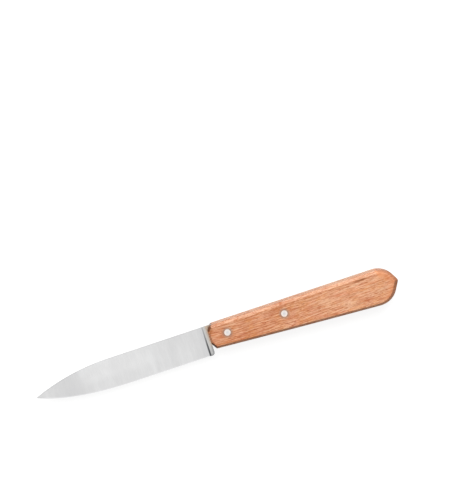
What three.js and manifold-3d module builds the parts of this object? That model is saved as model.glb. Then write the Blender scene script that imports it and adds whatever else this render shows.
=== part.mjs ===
// Paring knife. A flat-ground spear-point blade runs back into a half tang, which sits in a saw slot of a
// one-piece beech handle and is held there by two aluminium rivets.
//
// Millimetres. The knife lies on its side. It is drawn with x = 0 at the front of the handle, x rising
// towards the butt, y = 0 through the tip, y rising towards the spine, and z = 0 in the blade's middle
// plane. The finished knife is then moved so that it rests on z = 0, centred on the origin.

import * as THREE from 'three';
import { mergeVertices } from 'three/addons/utils/BufferGeometryUtils.js';
import Module from 'manifold-3d';

const wasm = await Module();
wasm.setup();

// Blade outline
const BLADE_LENGTH = 100; // tip to the front of the handle
const SPINE_HEIGHT = 8.3; // spine above the tip's axis
const EDGE_DEPTH = 8.3; // cutting edge below the tip's axis
const SPINE_DROP_LENGTH = 44; // length of the spine's curve to the tip
const SPINE_DROP_CORNER = 22; // its two end tangents meet this far behind the tip
const EDGE_RISE_LENGTH = 54; // length of the edge's curve to the tip
const EDGE_RISE_CORNER = 18.5; // its two end tangents meet this far behind the tip
const RICASSO_LENGTH = 2.1; // unground strip between the grind and the handle
const HEEL_RADIUS = 1.6;

// Blade thickness and grind
const STOCK = 1.5; // steel sheet: ricasso and tang
const GRIND_DEPTH = 0.15; // steel ground off each side at the spine
const SHOULDER = 0.36; // thickness where the sharpening bevel starts
const SHARPENING_BEVEL = 1; // width of the sharpening bevel
const BEVEL_NARROWS_AT = 4; // width of the point below which the bevel narrows with it
const PLUNGE_RADIUS = 1.5; // corner of the wheel that ground the blade

// Handle
const HANDLE_LENGTH = 106.6; // front to the nose of the butt
const HANDLE_THICKNESS = 12;
const BELLY_AT_FRONT = 4.65; // belly line below the tip's axis at the front
const BELLY_FLARE = 3.7; // degrees by which the belly leaves the axis
const BELLY_BOW = 0.15; // how far the belly swells out of its straight line
const FRONT_FLAT_TOP = 5.7; // square part of the front end, above the tip's axis
const FRONT_FLAT_BOTTOM = 1.5; // and below it
const UPPER_FRONT_SLANT = 36; // degrees by which the corners of the front end are cut back
const LOWER_FRONT_SLANT = 31;
const FRONT_RADIUS = 2; // where those cuts leave the square part
const UPPER_FRONT_RADIUS = 3; // where the upper cut runs into the back
const NOSE_BELOW_AXIS = 0.35;
const NOSE_RADIUS = 1.8;
const BUTT_SLANT = 30.5; // degrees by which the butt's two flats are cut back
const BUTT_RADIUS = 11; // where they run into the back and the belly
const EDGE_CHAMFER = 1.4; // along back and belly
const BUTT_CHAMFER = 1.9; // round the butt
const FRONT_CHAMFER = 1; // round the front end

// Tang, slot and rivets
const TANG_RECESS = 0.15; // tang's edges below the wood
const TANG_PAST_RIVET = 9.5; // rear rivet to the end of the tang
const TANG_END_RADIUS = 3;
const SLOT_CLEARANCE = 0.1; // each side of the tang
const SLOT_END_CLEARANCE = 1; // behind the tang
const SAW_RADIUS = 60; // saw that cut the slot
const RIVET_HEIGHT = 2; // rivets above the tip's axis
const RIVET_DIAMETER = 3.6;
const RIVET_CLEARANCE = 0.15; // round the rivet
const RIVET_SINK = 0.05; // crown of the rivet below the wood
const RIVET_CROWN = 0.2; // height of the domed ends
const FRONT_RIVET_X = 10.1;
const RIVET_SPACING = 32.4;

// Facets and margins
const CURVE_STEPS = 12;
const ARC_STEPS = 16;
const DOME_STEPS = 2;
const BLADE_STATIONS = 48;
const PLUNGE_STATIONS = 6;
const ROUND_SIDES = 32;
const LEAST_RADIUS = 0.3; // least radius left on a corner by a chamfer
const LEAST_FLAT = 0.1; // least flat left beside a rounded corner
const CUT_MARGIN = 2; // by which a cutting solid overruns the piece it cuts

// Worked out from the sizes above
const backHeight = SPINE_HEIGHT + TANG_RECESS;
const rearRivetX = FRONT_RIVET_X + RIVET_SPACING;
const tangLength = rearRivetX + TANG_PAST_RIVET;
const halfStock = STOCK / 2;
const halfShoulder = SHOULDER / 2;
const halfHandle = HANDLE_THICKNESS / 2;

// Solids for cutting and joining

function solidFrom(geometry) {
  const bare = geometry.clone();
  bare.deleteAttribute('normal');
  bare.deleteAttribute('uv');
  const merged = mergeVertices(bare);
  const corners = merged.index.array;
  const triVerts = [];
  for (let i = 0; i < corners.length; i += 3) {
    const [a, b, c] = corners.slice(i, i + 3);
    if (a !== b && b !== c && c !== a) triVerts.push(a, b, c);
  }
  const vertProperties = merged.attributes.position.array;
  return new wasm.Manifold(
    new wasm.Mesh({ numProp: 3, vertProperties, triVerts: new Uint32Array(triVerts) }),
  );
}

function geometryFrom(solid) {
  const { vertProperties, triVerts } = solid.getMesh();
  const indexed = new THREE.BufferGeometry();
  indexed.setAttribute('position', new THREE.BufferAttribute(vertProperties, 3));
  indexed.setIndex(new THREE.BufferAttribute(triVerts, 1));
  const faceted = indexed.toNonIndexed();
  faceted.computeVertexNormals();
  return faceted;
}

// A closed solid through rings of equal length, each running anticlockwise seen from the last ring's side.
function loftThrough(rings) {
  const size = rings[0].length;
  const positions = rings.flat().flatMap((p) => [p.x, p.y, p.z]);
  const index = [];
  for (let ring = 0; ring + 1 < rings.length; ring += 1) {
    for (let i = 0; i < size; i += 1) {
      const here = ring * size + i;
      const next = ring * size + ((i + 1) % size);
      index.push(here, next, next + size, here, next + size, here + size);
    }
  }
  for (const [a, b, c] of capTriangles(rings[0])) {
    index.push(a, c, b);
  }
  const last = (rings.length - 1) * size;
  for (const [a, b, c] of capTriangles(rings[rings.length - 1])) {
    index.push(last + a, last + b, last + c);
  }
  const geometry = new THREE.BufferGeometry();
  geometry.setAttribute('position', new THREE.Float32BufferAttribute(positions, 3));
  geometry.setIndex(index);
  return geometry;
}

// Triangles that close a flat ring, which lies either in a plane of equal z or in an upright section.
function capTriangles(ring) {
  const lying = ring.every((p) => p.z === ring[0].z);
  const flat = ring.map((p) => (lying ? new THREE.Vector2(p.x, p.y) : new THREE.Vector2(p.z, p.y)));
  return THREE.ShapeUtils.triangulateShape(flat, []);
}

// Outlines made of straight edges. An edge is a line through (x, y) at an angle in degrees, with the piece
// on its left. "radius" rounds the corner at the edge's end, and "bow" swells the edge outwards.

const radians = THREE.MathUtils.degToRad;

function insetEdge(edge, inset) {
  const angle = radians(edge.angle);
  const radius = edge.radius ? Math.max(edge.radius - inset, LEAST_RADIUS) : 0;
  return { ...edge, x: edge.x - inset * Math.sin(angle), y: edge.y + inset * Math.cos(angle), radius };
}

function cornerOf(edge, next) {
  const along = new THREE.Vector2(Math.cos(radians(edge.angle)), Math.sin(radians(edge.angle)));
  const across = new THREE.Vector2(Math.cos(radians(next.angle)), Math.sin(radians(next.angle)));
  const between = new THREE.Vector2(next.x - edge.x, next.y - edge.y);
  const reach = between.cross(across) / along.cross(across);
  return new THREE.Vector2(edge.x, edge.y).addScaledVector(along, reach);
}

function outlineThrough(edges) {
  const points = [];
  edges.forEach((edge, i) => {
    const next = edges[(i + 1) % edges.length];
    const angle = radians(edge.angle);
    const turn = radians(THREE.MathUtils.euclideanModulo(next.angle - edge.angle, 360));
    const along = new THREE.Vector2(Math.cos(angle), Math.sin(angle));
    const inward = new THREE.Vector2(-along.y, along.x);
    const end = cornerOf(edge, next);
    if (edge.radius) end.addScaledVector(along, -edge.radius * Math.tan(turn / 2));
    if (edge.bow) {
      const start = points[points.length - 1];
      const swell = start.clone().lerp(end, 0.5).addScaledVector(inward, -2 * edge.bow);
      points.push(...new THREE.QuadraticBezierCurve(start, swell, end).getPoints(CURVE_STEPS).slice(1));
    } else {
      points.push(end);
    }
    if (edge.radius) {
      const centre = end.clone().addScaledVector(inward, edge.radius);
      const from = angle - Math.PI / 2;
      const arc = new THREE.EllipseCurve(centre.x, centre.y, edge.radius, edge.radius, from, from + turn);
      points.push(...arc.getPoints(ARC_STEPS).slice(1));
    }
  });
  return points;
}

// Edges of the handle's side view, anticlockwise from the square part of the front end.
const noseCorner = HANDLE_LENGTH + NOSE_RADIUS * (1 / Math.cos(radians(BUTT_SLANT)) - 1);
const frontEdge = { x: 0, y: 0, angle: -90, chamfer: FRONT_CHAMFER, radius: FRONT_RADIUS };
const lowerFrontEdge = {
  x: 0,
  y: -FRONT_FLAT_BOTTOM,
  angle: -90 + LOWER_FRONT_SLANT,
  chamfer: FRONT_CHAMFER,
};
const bellyEdge = {
  x: 0,
  y: -BELLY_AT_FRONT,
  angle: -BELLY_FLARE,
  chamfer: EDGE_CHAMFER,
  radius: BUTT_RADIUS,
  bow: BELLY_BOW,
};
const lowerButtEdge = {
  x: noseCorner,
  y: -NOSE_BELOW_AXIS,
  angle: 90 - BUTT_SLANT,
  chamfer: BUTT_CHAMFER,
  radius: NOSE_RADIUS,
};
const upperButtEdge = {
  x: noseCorner,
  y: -NOSE_BELOW_AXIS,
  angle: 90 + BUTT_SLANT,
  chamfer: BUTT_CHAMFER,
  radius: BUTT_RADIUS,
};
const backEdge = {
  x: 0,
  y: backHeight,
  angle: 180,
  chamfer: EDGE_CHAMFER,
  radius: UPPER_FRONT_RADIUS,
};
const upperFrontEdge = {
  x: 0,
  y: FRONT_FLAT_TOP,
  angle: 270 - UPPER_FRONT_SLANT,
  chamfer: FRONT_CHAMFER,
  radius: FRONT_RADIUS,
};
const handleEdges = [
  frontEdge,
  lowerFrontEdge,
  bellyEdge,
  lowerButtEdge,
  upperButtEdge,
  backEdge,
  upperFrontEdge,
];

// Handle: rings of the side view stacked through the thickness, drawn in by the chamfers near each face.

function handleRing(depth, z) {
  const edges = handleEdges.map((edge) => insetEdge(edge, Math.max(0, edge.chamfer - depth)));
  return outlineThrough(edges).map((p) => new THREE.Vector3(p.x, p.y, z));
}

function handleBlank() {
  const chamfers = new Set(handleEdges.map((edge) => edge.chamfer));
  const depths = [0, ...chamfers].sort((a, b) => a - b);
  const lower = depths.map((depth) => handleRing(depth, depth - halfHandle));
  const upper = depths.map((depth) => handleRing(depth, halfHandle - depth)).reverse();
  return solidFrom(loftThrough([...lower, ...upper]));
}

// The slot is open at the front, the back and the belly, and ends in the round of the saw.
function tangSlot() {
  const halfSlot = halfStock + SLOT_CLEARANCE;
  const centreX = tangLength + SLOT_END_CLEARANCE - SAW_RADIUS;
  const reach = Math.max(backHeight, BELLY_AT_FRONT + tangLength * Math.tan(radians(BELLY_FLARE)));
  const halfHeight = reach + RIVET_HEIGHT + CUT_MARGIN;
  const swing = Math.asin(halfHeight / SAW_RADIUS);
  const outline = new THREE.Shape();
  outline.moveTo(-CUT_MARGIN, RIVET_HEIGHT + halfHeight);
  outline.lineTo(-CUT_MARGIN, RIVET_HEIGHT - halfHeight);
  outline.absarc(centreX, RIVET_HEIGHT, SAW_RADIUS, -swing, swing, false);
  const geometry = new THREE.ExtrudeGeometry(outline, {
    depth: 2 * halfSlot,
    bevelEnabled: false,
    curveSegments: CURVE_STEPS,
  });
  return solidFrom(geometry.translate(0, 0, -halfSlot));
}

function rivetHole(x) {
  const radius = RIVET_DIAMETER / 2 + RIVET_CLEARANCE;
  const length = HANDLE_THICKNESS + 2 * CUT_MARGIN;
  const hole = new THREE.CylinderGeometry(radius, radius, length, ROUND_SIDES);
  return solidFrom(hole.rotateX(Math.PI / 2).translate(x, RIVET_HEIGHT, 0));
}

function handleGeometry() {
  const bored = handleBlank()
    .subtract(tangSlot())
    .subtract(rivetHole(FRONT_RIVET_X))
    .subtract(rivetHole(rearRivetX));
  return geometryFrom(bored);
}

// Blade

// Spine or cutting edge from the plunge line to the tip, as seen from the side.
function bladeRail(height, curveLength, cornerLength) {
  const tipX = -BLADE_LENGTH;
  const rail = new THREE.Path();
  rail.moveTo(-RICASSO_LENGTH, height);
  rail.lineTo(tipX + curveLength, height);
  rail.quadraticCurveTo(tipX + cornerLength, height, tipX, 0);
  return rail;
}

// The grinding wheel leaves the full stock at the plunge line in a hollow of its own corner radius. Where
// the grind is deeper than that radius, the rest of the step is upright.
function halfThicknessAt(ground, fromPlunge) {
  const step = Math.min(halfStock - ground, PLUNGE_RADIUS);
  const reach = Math.sqrt(2 * PLUNGE_RADIUS * step - step * step);
  const left = Math.max(0, reach - fromPlunge);
  return ground + PLUNGE_RADIUS - Math.sqrt(PLUNGE_RADIUS * PLUNGE_RADIUS - left * left);
}

// One section of the flat grind: spine, sharpening shoulder and edge, on both sides of the middle plane.
// The grind and the bevel keep their angles, so the blade thins as it narrows towards the tip.
function bladeSection(spine, edge, fromPlunge) {
  const width = spine.distanceTo(edge);
  const fullWidth = SPINE_HEIGHT + EDGE_DEPTH;
  const bevel = SHARPENING_BEVEL * Math.min(1, width / BEVEL_NARROWS_AT);
  const grindSlope = (halfStock - GRIND_DEPTH - halfShoulder) / (fullWidth - SHARPENING_BEVEL);
  const shoulderGround = halfShoulder * (bevel / SHARPENING_BEVEL);
  const spineGround = shoulderGround + grindSlope * (width - bevel);
  const shoulder = width > 0 ? edge.clone().lerp(spine, bevel / width) : edge;
  const spineHalf = width > 0 ? halfThicknessAt(spineGround, fromPlunge) : 0;
  const shoulderHalf = width > 0 ? halfThicknessAt(shoulderGround, fromPlunge) : 0;
  return [
    new THREE.Vector3(spine.x, spine.y, -spineHalf),
    new THREE.Vector3(shoulder.x, shoulder.y, -shoulderHalf),
    new THREE.Vector3(edge.x, edge.y, 0),
    new THREE.Vector3(shoulder.x, shoulder.y, shoulderHalf),
    new THREE.Vector3(spine.x, spine.y, spineHalf),
  ];
}

function groundBlade() {
  const spineRail = bladeRail(SPINE_HEIGHT, SPINE_DROP_LENGTH, SPINE_DROP_CORNER);
  const edgeRail = bladeRail(-EDGE_DEPTH, EDGE_RISE_LENGTH, EDGE_RISE_CORNER);
  const length = spineRail.getLength();
  const stations = [];
  for (let i = 0; i < PLUNGE_STATIONS; i += 1) {
    stations.push((i / PLUNGE_STATIONS) * PLUNGE_RADIUS);
  }
  for (let i = 0; i <= BLADE_STATIONS; i += 1) {
    stations.push(THREE.MathUtils.lerp(PLUNGE_RADIUS, length, i / BLADE_STATIONS));
  }
  const rings = stations.map((fromPlunge) => {
    const share = fromPlunge / length;
    return bladeSection(spineRail.getPointAt(share), edgeRail.getPointAt(share), fromPlunge);
  });
  return solidFrom(loftThrough(rings));
}

// Ricasso and tang: the unground sheet. The tang keeps inside the handle's outline all round.
function tangPlate() {
  const edges = [
    { x: 0, y: -EDGE_DEPTH, angle: 0, radius: Math.min(HEEL_RADIUS, RICASSO_LENGTH - LEAST_FLAT) },
    { x: 0, y: 0, angle: 90 },
    insetEdge(lowerFrontEdge, TANG_RECESS),
    { ...insetEdge(bellyEdge, TANG_RECESS), radius: TANG_END_RADIUS, bow: 0 },
    { x: tangLength, y: 0, angle: 90, radius: TANG_END_RADIUS },
    { x: 0, y: SPINE_HEIGHT, angle: 180 },
    { x: -RICASSO_LENGTH, y: 0, angle: 270 },
  ];
  const outline = new THREE.Shape(outlineThrough(edges));
  const geometry = new THREE.ExtrudeGeometry(outline, { depth: STOCK, bevelEnabled: false });
  return solidFrom(geometry.translate(0, 0, -halfStock));
}

function bladeGeometry() {
  const whole = tangPlate()
    .add(groundBlade())
    .subtract(rivetHole(FRONT_RIVET_X))
    .subtract(rivetHole(rearRivetX));
  return geometryFrom(whole);
}

// Rivet: a pin with domed ends, upright through the handle.

function rivetGeometry() {
  const radius = RIVET_DIAMETER / 2;
  const halfLength = halfHandle - RIVET_SINK;
  const domeRadius = (radius * radius + RIVET_CROWN * RIVET_CROWN) / (2 * RIVET_CROWN);
  const domeCentre = halfLength - domeRadius;
  const swing = Math.asin(radius / domeRadius);
  const profile = new THREE.Path();
  profile.absarc(0, -domeCentre, domeRadius, -Math.PI / 2, -Math.PI / 2 + swing, false);
  profile.absarc(0, domeCentre, domeRadius, Math.PI / 2 - swing, Math.PI / 2, false);
  const points = profile.getPoints(DOME_STEPS);
  points[0].x = 0;
  points[points.length - 1].x = 0;
  return new THREE.LatheGeometry(points, ROUND_SIDES).rotateX(Math.PI / 2);
}

// Assembly

const steel = new THREE.MeshStandardMaterial({ color: 0xd9dadb, roughness: 0.32, metalness: 1 });
const beech = new THREE.MeshStandardMaterial({ color: 0xd59671, roughness: 0.55, metalness: 0 });
const aluminium = new THREE.MeshStandardMaterial({ color: 0xe8e6e3, roughness: 0.38, metalness: 1 });

function pieceOf(name, geometry, material) {
  const piece = new THREE.Mesh(geometry, material);
  piece.name = name;
  return piece;
}

function rivetOf(name, x) {
  const rivet = pieceOf(name, rivetGeometry(), aluminium);
  rivet.position.set(x, RIVET_HEIGHT, 0);
  return rivet;
}

const knife = new THREE.Group();
knife.add(pieceOf('blade', bladeGeometry(), steel));
knife.add(pieceOf('handle', handleGeometry(), beech));
knife.add(rivetOf('front_rivet', FRONT_RIVET_X));
knife.add(rivetOf('rear_rivet', rearRivetX));

// The knife rests on the lower side of its handle, with the origin under the middle of its box.
const extent = new THREE.Box3().setFromObject(knife);
const middle = extent.getCenter(new THREE.Vector3());
knife.position.set(-middle.x, -middle.y, -extent.min.z);

export default knife;
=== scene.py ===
"""Looks of the paring knife: satin-ground blade, sanded beech handle and flush aluminium rivets."""

import math
from collections import namedtuple

import bmesh
import bpy
from mathutils import Matrix, Vector


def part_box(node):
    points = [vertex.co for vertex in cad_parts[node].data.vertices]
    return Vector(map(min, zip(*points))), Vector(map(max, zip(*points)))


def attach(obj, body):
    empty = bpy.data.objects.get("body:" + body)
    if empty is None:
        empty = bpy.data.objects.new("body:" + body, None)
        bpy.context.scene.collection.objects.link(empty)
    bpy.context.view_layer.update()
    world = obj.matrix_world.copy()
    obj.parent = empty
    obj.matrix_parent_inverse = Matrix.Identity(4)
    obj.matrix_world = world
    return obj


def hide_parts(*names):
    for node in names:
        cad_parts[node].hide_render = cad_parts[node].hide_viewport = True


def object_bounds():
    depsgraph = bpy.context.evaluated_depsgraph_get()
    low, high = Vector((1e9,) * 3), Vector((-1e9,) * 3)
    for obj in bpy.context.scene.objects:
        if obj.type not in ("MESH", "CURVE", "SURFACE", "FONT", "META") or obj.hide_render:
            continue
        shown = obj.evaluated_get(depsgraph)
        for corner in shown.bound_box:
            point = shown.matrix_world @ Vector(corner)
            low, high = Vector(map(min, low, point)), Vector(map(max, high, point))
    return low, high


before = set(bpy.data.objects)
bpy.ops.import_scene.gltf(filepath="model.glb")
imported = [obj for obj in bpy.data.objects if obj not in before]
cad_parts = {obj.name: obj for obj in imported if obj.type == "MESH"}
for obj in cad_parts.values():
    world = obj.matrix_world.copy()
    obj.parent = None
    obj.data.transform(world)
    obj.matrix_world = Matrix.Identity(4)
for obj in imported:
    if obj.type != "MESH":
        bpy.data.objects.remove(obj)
cad_low, cad_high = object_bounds()

MM = 0.001

# Sizes in millimetres, on the knife's own axes: x = 0 at the front of the handle and rising towards the
# butt, y = 0 through the tip and rising towards the spine, z = 0 in the blade's middle plane.

# Blade
BLADE_LENGTH = 100.0
SPINE_HEIGHT = 8.3
EDGE_DEPTH = 8.3
SPINE_DROP = (44.0, 22.0)  # length of the spine's curve, and where its end tangents meet
EDGE_RISE = (54.0, 18.5)
RICASSO_LENGTH = 2.1
HEEL_RADIUS = 1.6
HALF_STOCK = 0.75
GRIND_DEPTH = 0.15
HALF_SHOULDER = 0.18
SHARPENING_BEVEL = 1.0
BEVEL_NARROWS_AT = 4.0
PLUNGE_RADIUS = 1.5
HALF_CUTTING_EDGE = 0.01
TIP_FLAT = 0.02
SPINE_EASE = 0.16  # sanded corners of the spine
EASE_TO_THICKNESS = 0.3  # the most that those corners take of a thin blade's half thickness
EASE_TO_WIDTH = 0.2  # and of its width

# Handle
HANDLE_LENGTH = 106.6
HALF_HANDLE = 6.0
BACK_HEIGHT = 8.45
BELLY_AT_FRONT = 4.65
BELLY_FLARE = 3.7
BELLY_BOW = 0.15
FRONT_FLAT_TOP = 5.7
FRONT_FLAT_BOTTOM = 1.5
UPPER_FRONT_SLANT = 36.0
LOWER_FRONT_SLANT = 31.0
FRONT_RADIUS = 2.0
UPPER_FRONT_RADIUS = 3.0
LOWER_FRONT_RADIUS = 0.45
NOSE_BELOW_AXIS = 0.35
NOSE_RADIUS = 1.8
BUTT_SLANT = 30.5
BUTT_RADIUS = 11.0
EDGE_CHAMFER = 1.4
BUTT_CHAMFER = 1.9
FRONT_CHAMFER = 1.0
ARRIS_RADIUS = 0.35  # sanded corners between faces and chamfers
ARRIS_RUN = ARRIS_RADIUS * math.tan(math.pi / 8)

# Tang, slot and rivets
TANG_RECESS = 0.15
TANG_LENGTH = 52.0
TANG_END_RADIUS = 3.0
HALF_SLOT = 0.85
SLOT_END = 53.0
SLOT_LIP = 0.18
SAW_RADIUS = 60.0
SAW_HALF_CUT = 14.0  # height of the saw's cut above and below the rivets, past the wood
RIVET_HEIGHT = 2.0
RIVET_RADIUS = 1.8
RIVET_HALF_LENGTH = 5.95
RIVET_CROWN = 0.08
RIVET_CORNER = 0.05
HOLE_RADIUS = 1.82  # swollen tight round the pin
HOLE_LIP = 0.05
RIVET_PLACES = {"front_rivet": 10.1, "rear_rivet": 42.5}
CUTTER_OVERRUN = 2.0  # how far a cutter stands out of the wood

# Fineness of the meshes
ROUND_SIDES = 64  # of pins and their holes
SHARP_ANGLE = 32.0  # degrees
WELD_DISTANCE = 1e-5

# The axes above, placed in the frame by the pieces of the CAD model.
handle_low, handle_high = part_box("handle")
blade_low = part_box("blade")[0]
knife_origin = Vector((
    handle_low.x,
    blade_low.y + EDGE_DEPTH * MM,
    (handle_low.z + handle_high.z) / 2,
))
knife_axes = Matrix.Translation(knife_origin) @ Matrix.Scale(MM, 4)


# Meshes

def placed(name, data):
    """Puts a mesh, a lamp or a camera into the scene."""
    made = bpy.data.objects.new(name, data)
    bpy.context.scene.collection.objects.link(made)
    return made


def mesh_from(name, bm):
    mesh = bpy.data.meshes.new(name)
    bm.to_mesh(mesh)
    bm.free()
    return mesh


def finished_piece(name, bm, material):
    """Turns a mesh drawn on the knife's axes into a shaded piece in the frame."""
    bmesh.ops.remove_doubles(bm, verts=bm.verts, dist=WELD_DISTANCE)
    bmesh.ops.recalc_face_normals(bm, faces=bm.faces)
    mesh = mesh_from(name, bm)
    mesh.transform(knife_axes)
    mesh.shade_smooth()
    mesh.set_sharp_from_angle(angle=math.radians(SHARP_ANGLE))
    mesh.materials.append(material)
    piece = placed(name, mesh)
    even = piece.modifiers.new("flat faces stay flat", "WEIGHTED_NORMAL")
    even.keep_sharp = True
    return piece


def skin(bm, rings):
    """Walls through closed rings of equal length, with both ends capped."""
    rows = [[bm.verts.new(point) for point in ring] for ring in rings]
    for row, following in zip(rows, rows[1:]):
        for i in range(len(row)):
            j = (i + 1) % len(row)
            bm.faces.new((row[i], row[j], following[j], following[i]))
    bm.faces.new(reversed(rows[0]))
    bm.faces.new(rows[-1])


def turned(bm, profile, x):
    """A solid turned about a rivet's axis from (radius, height) pairs that start and end on the axis."""
    middle = Vector((x, RIVET_HEIGHT, 0))
    bottom = bm.verts.new(middle + Vector((0, 0, profile[0][1])))
    top = bm.verts.new(middle + Vector((0, 0, profile[-1][1])))
    angles = [math.tau * side / ROUND_SIDES for side in range(ROUND_SIDES)]
    rows = []
    for radius, height in profile[1:-1]:
        rows.append([
            bm.verts.new(middle + Vector((radius * math.cos(a), radius * math.sin(a), height)))
            for a in angles
        ])
    for side in range(ROUND_SIDES):
        after = (side + 1) % ROUND_SIDES
        bm.faces.new((bottom, rows[0][after], rows[0][side]))
        bm.faces.new((top, rows[-1][side], rows[-1][after]))
        for row, following in zip(rows, rows[1:]):
            bm.faces.new((row[side], row[after], following[after], following[side]))


def cut_away(bm, cutter_bm):
    """Returns the first mesh with the second cut out of it."""
    objects = []
    for part in (bm, cutter_bm):
        bmesh.ops.recalc_face_normals(part, faces=part.faces)
        objects.append(placed("cutting", mesh_from("cutting", part)))
    work, cutter = objects
    cut = work.modifiers.new("cut", "BOOLEAN")
    cut.operation = "DIFFERENCE"
    cut.solver = "EXACT"
    cut.object = cutter
    result = bmesh.new()
    result.from_object(work, bpy.context.evaluated_depsgraph_get())
    for part_object in objects:
        mesh = part_object.data
        bpy.data.objects.remove(part_object)
        bpy.data.meshes.remove(mesh)
    return result


def ease(bm, edges, width):
    """Rounds edges as fine sandpaper does."""
    bmesh.ops.bevel(
        bm, geom=edges, offset=width, segments=3, profile=0.5, affect="EDGES", clamp_overlap=True
    )


def lies_at(edge, height):
    """True for a sharp outer edge that lies at this distance from the blade's middle plane."""
    tolerance, sharp = 1e-4, math.radians(60)
    level = all(abs(abs(vert.co.z) - height) < tolerance for vert in edge.verts)
    return level and edge.is_convex and edge.calc_face_angle() > sharp


def rivet_holes():
    holes = bmesh.new()
    reach = HALF_HANDLE + CUTTER_OVERRUN
    profile = [(0, -reach), (HOLE_RADIUS, -reach), (HOLE_RADIUS, reach), (0, reach)]
    for x in RIVET_PLACES.values():
        turned(holes, profile, x)
    return holes


# Handle

# An edge of the handle's side view: a point on it, its heading, its chamfer, the radius of the corner at
# its end, and how far it bows out.
Edge = namedtuple("Edge", "x y degrees chamfer radius bow")


def handle_edges():
    nose = HANDLE_LENGTH + NOSE_RADIUS * (1 / math.cos(math.radians(BUTT_SLANT)) - 1)
    return [
        Edge(0, 0, -90, FRONT_CHAMFER, FRONT_RADIUS, 0),
        Edge(0, -FRONT_FLAT_BOTTOM, -90 + LOWER_FRONT_SLANT, FRONT_CHAMFER, LOWER_FRONT_RADIUS, 0),
        Edge(0, -BELLY_AT_FRONT, -BELLY_FLARE, EDGE_CHAMFER, BUTT_RADIUS, BELLY_BOW),
        Edge(nose, -NOSE_BELOW_AXIS, 90 - BUTT_SLANT, BUTT_CHAMFER, NOSE_RADIUS, 0),
        Edge(nose, -NOSE_BELOW_AXIS, 90 + BUTT_SLANT, BUTT_CHAMFER, BUTT_RADIUS, 0),
        Edge(0, BACK_HEIGHT, 180, EDGE_CHAMFER, UPPER_FRONT_RADIUS, 0),
        Edge(0, FRONT_FLAT_TOP, 270 - UPPER_FRONT_SLANT, FRONT_CHAMFER, FRONT_RADIUS, 0),
    ]


def inset_edge(edge, inset):
    """Moves an edge of the side view into the wood, which is on the edge's left."""
    angle = math.radians(edge.degrees)
    return edge._replace(
        x=edge.x - inset * math.sin(angle),
        y=edge.y + inset * math.cos(angle),
        radius=max(edge.radius - inset, LOWER_FRONT_RADIUS / 2),
    )


def heading_of(edge):
    angle = math.radians(edge.degrees)
    return Vector((math.cos(angle), math.sin(angle)))


def corner_of(edge, following):
    """Where two edges would meet in a sharp corner."""
    heading, crossing = heading_of(edge), heading_of(following)
    apart = Vector((following.x - edge.x, following.y - edge.y))
    reach = apart.cross(crossing) / heading.cross(crossing)
    return Vector((edge.x, edge.y)) + heading * reach


def side_view(edges):
    """Points round straight or bowed edges with rounded corners."""
    arc_steps, bow_steps = 20, 16
    points = []
    for edge, following in zip(edges, edges[1:] + edges[:1]):
        angle = math.radians(edge.degrees)
        turn = math.radians((following.degrees - edge.degrees) % 360)
        heading = heading_of(edge)
        inward = Vector((-heading.y, heading.x))
        end = corner_of(edge, following) - heading * edge.radius * math.tan(turn / 2)
        if edge.bow:
            start = points[-1]
            for step in range(1, bow_steps):
                share = step / bow_steps
                swell = 4 * edge.bow * share * (1 - share)
                points.append(start.lerp(end, share) - inward * swell)
        centre = end + inward * edge.radius
        for step in range(arc_steps + 1):
            swing = turn * step / arc_steps
            spoke = Vector((math.sin(angle + swing), -math.cos(angle + swing)))
            points.append(centre + spoke * edge.radius)
    return points


def chamfer_inset(chamfer, depth):
    """How far a chamfered edge lies inside the outline, at a depth below the handle's side face."""
    shallow = ARRIS_RUN / math.sqrt(2)
    if depth < shallow:
        return chamfer + ARRIS_RUN - math.sqrt(ARRIS_RADIUS ** 2 - (ARRIS_RADIUS - depth) ** 2)
    if depth < chamfer - shallow:
        return chamfer - depth
    if depth < chamfer + ARRIS_RUN:
        return ARRIS_RADIUS - math.sqrt(ARRIS_RADIUS ** 2 - (chamfer + ARRIS_RUN - depth) ** 2)
    return 0.0


def chamfer_depths():
    """Depths at which the handle needs a ring to follow the rounded arrises of its chamfers."""
    swings = [math.radians(degrees) for degrees in (0, 15, 30, 45)]
    depths = {ARRIS_RADIUS * (1 - math.cos(swing)) for swing in swings}
    for chamfer in (FRONT_CHAMFER, EDGE_CHAMFER, BUTT_CHAMFER):
        depths |= {chamfer + ARRIS_RUN - ARRIS_RADIUS * math.sin(swing) for swing in swings}
    return sorted(depths)


def handle_ring(depth, z):
    edges = [inset_edge(edge, chamfer_inset(edge.chamfer, depth)) for edge in handle_edges()]
    return [(point.x, point.y, z) for point in side_view(edges)]


def tang_slot():
    """The saw cut for the tang, open at the front, the back and the belly."""
    steps = 24
    swing = math.asin(SAW_HALF_CUT / SAW_RADIUS)
    outline = [
        (-CUTTER_OVERRUN, RIVET_HEIGHT + SAW_HALF_CUT),
        (-CUTTER_OVERRUN, RIVET_HEIGHT - SAW_HALF_CUT),
    ]
    for step in range(steps + 1):
        angle = -swing + 2 * swing * step / steps
        outline.append((
            SLOT_END - SAW_RADIUS + SAW_RADIUS * math.cos(angle),
            RIVET_HEIGHT + SAW_RADIUS * math.sin(angle),
        ))
    slot = bmesh.new()
    skin(slot, [[(x, y, z) for x, y in outline] for z in (-HALF_SLOT, HALF_SLOT)])
    return slot


def handle_mesh():
    bm = bmesh.new()
    depths = chamfer_depths()
    lower = [handle_ring(depth, depth - HALF_HANDLE) for depth in depths]
    upper = [handle_ring(depth, HALF_HANDLE - depth) for depth in reversed(depths)]
    skin(bm, lower + upper)
    bm = cut_away(bm, tang_slot())
    ease(bm, [edge for edge in bm.edges if lies_at(edge, HALF_SLOT)], SLOT_LIP)
    bm = cut_away(bm, rivet_holes())
    ease(bm, [edge for edge in bm.edges if lies_at(edge, HALF_HANDLE)], HOLE_LIP)
    return bm


# Blade

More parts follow.
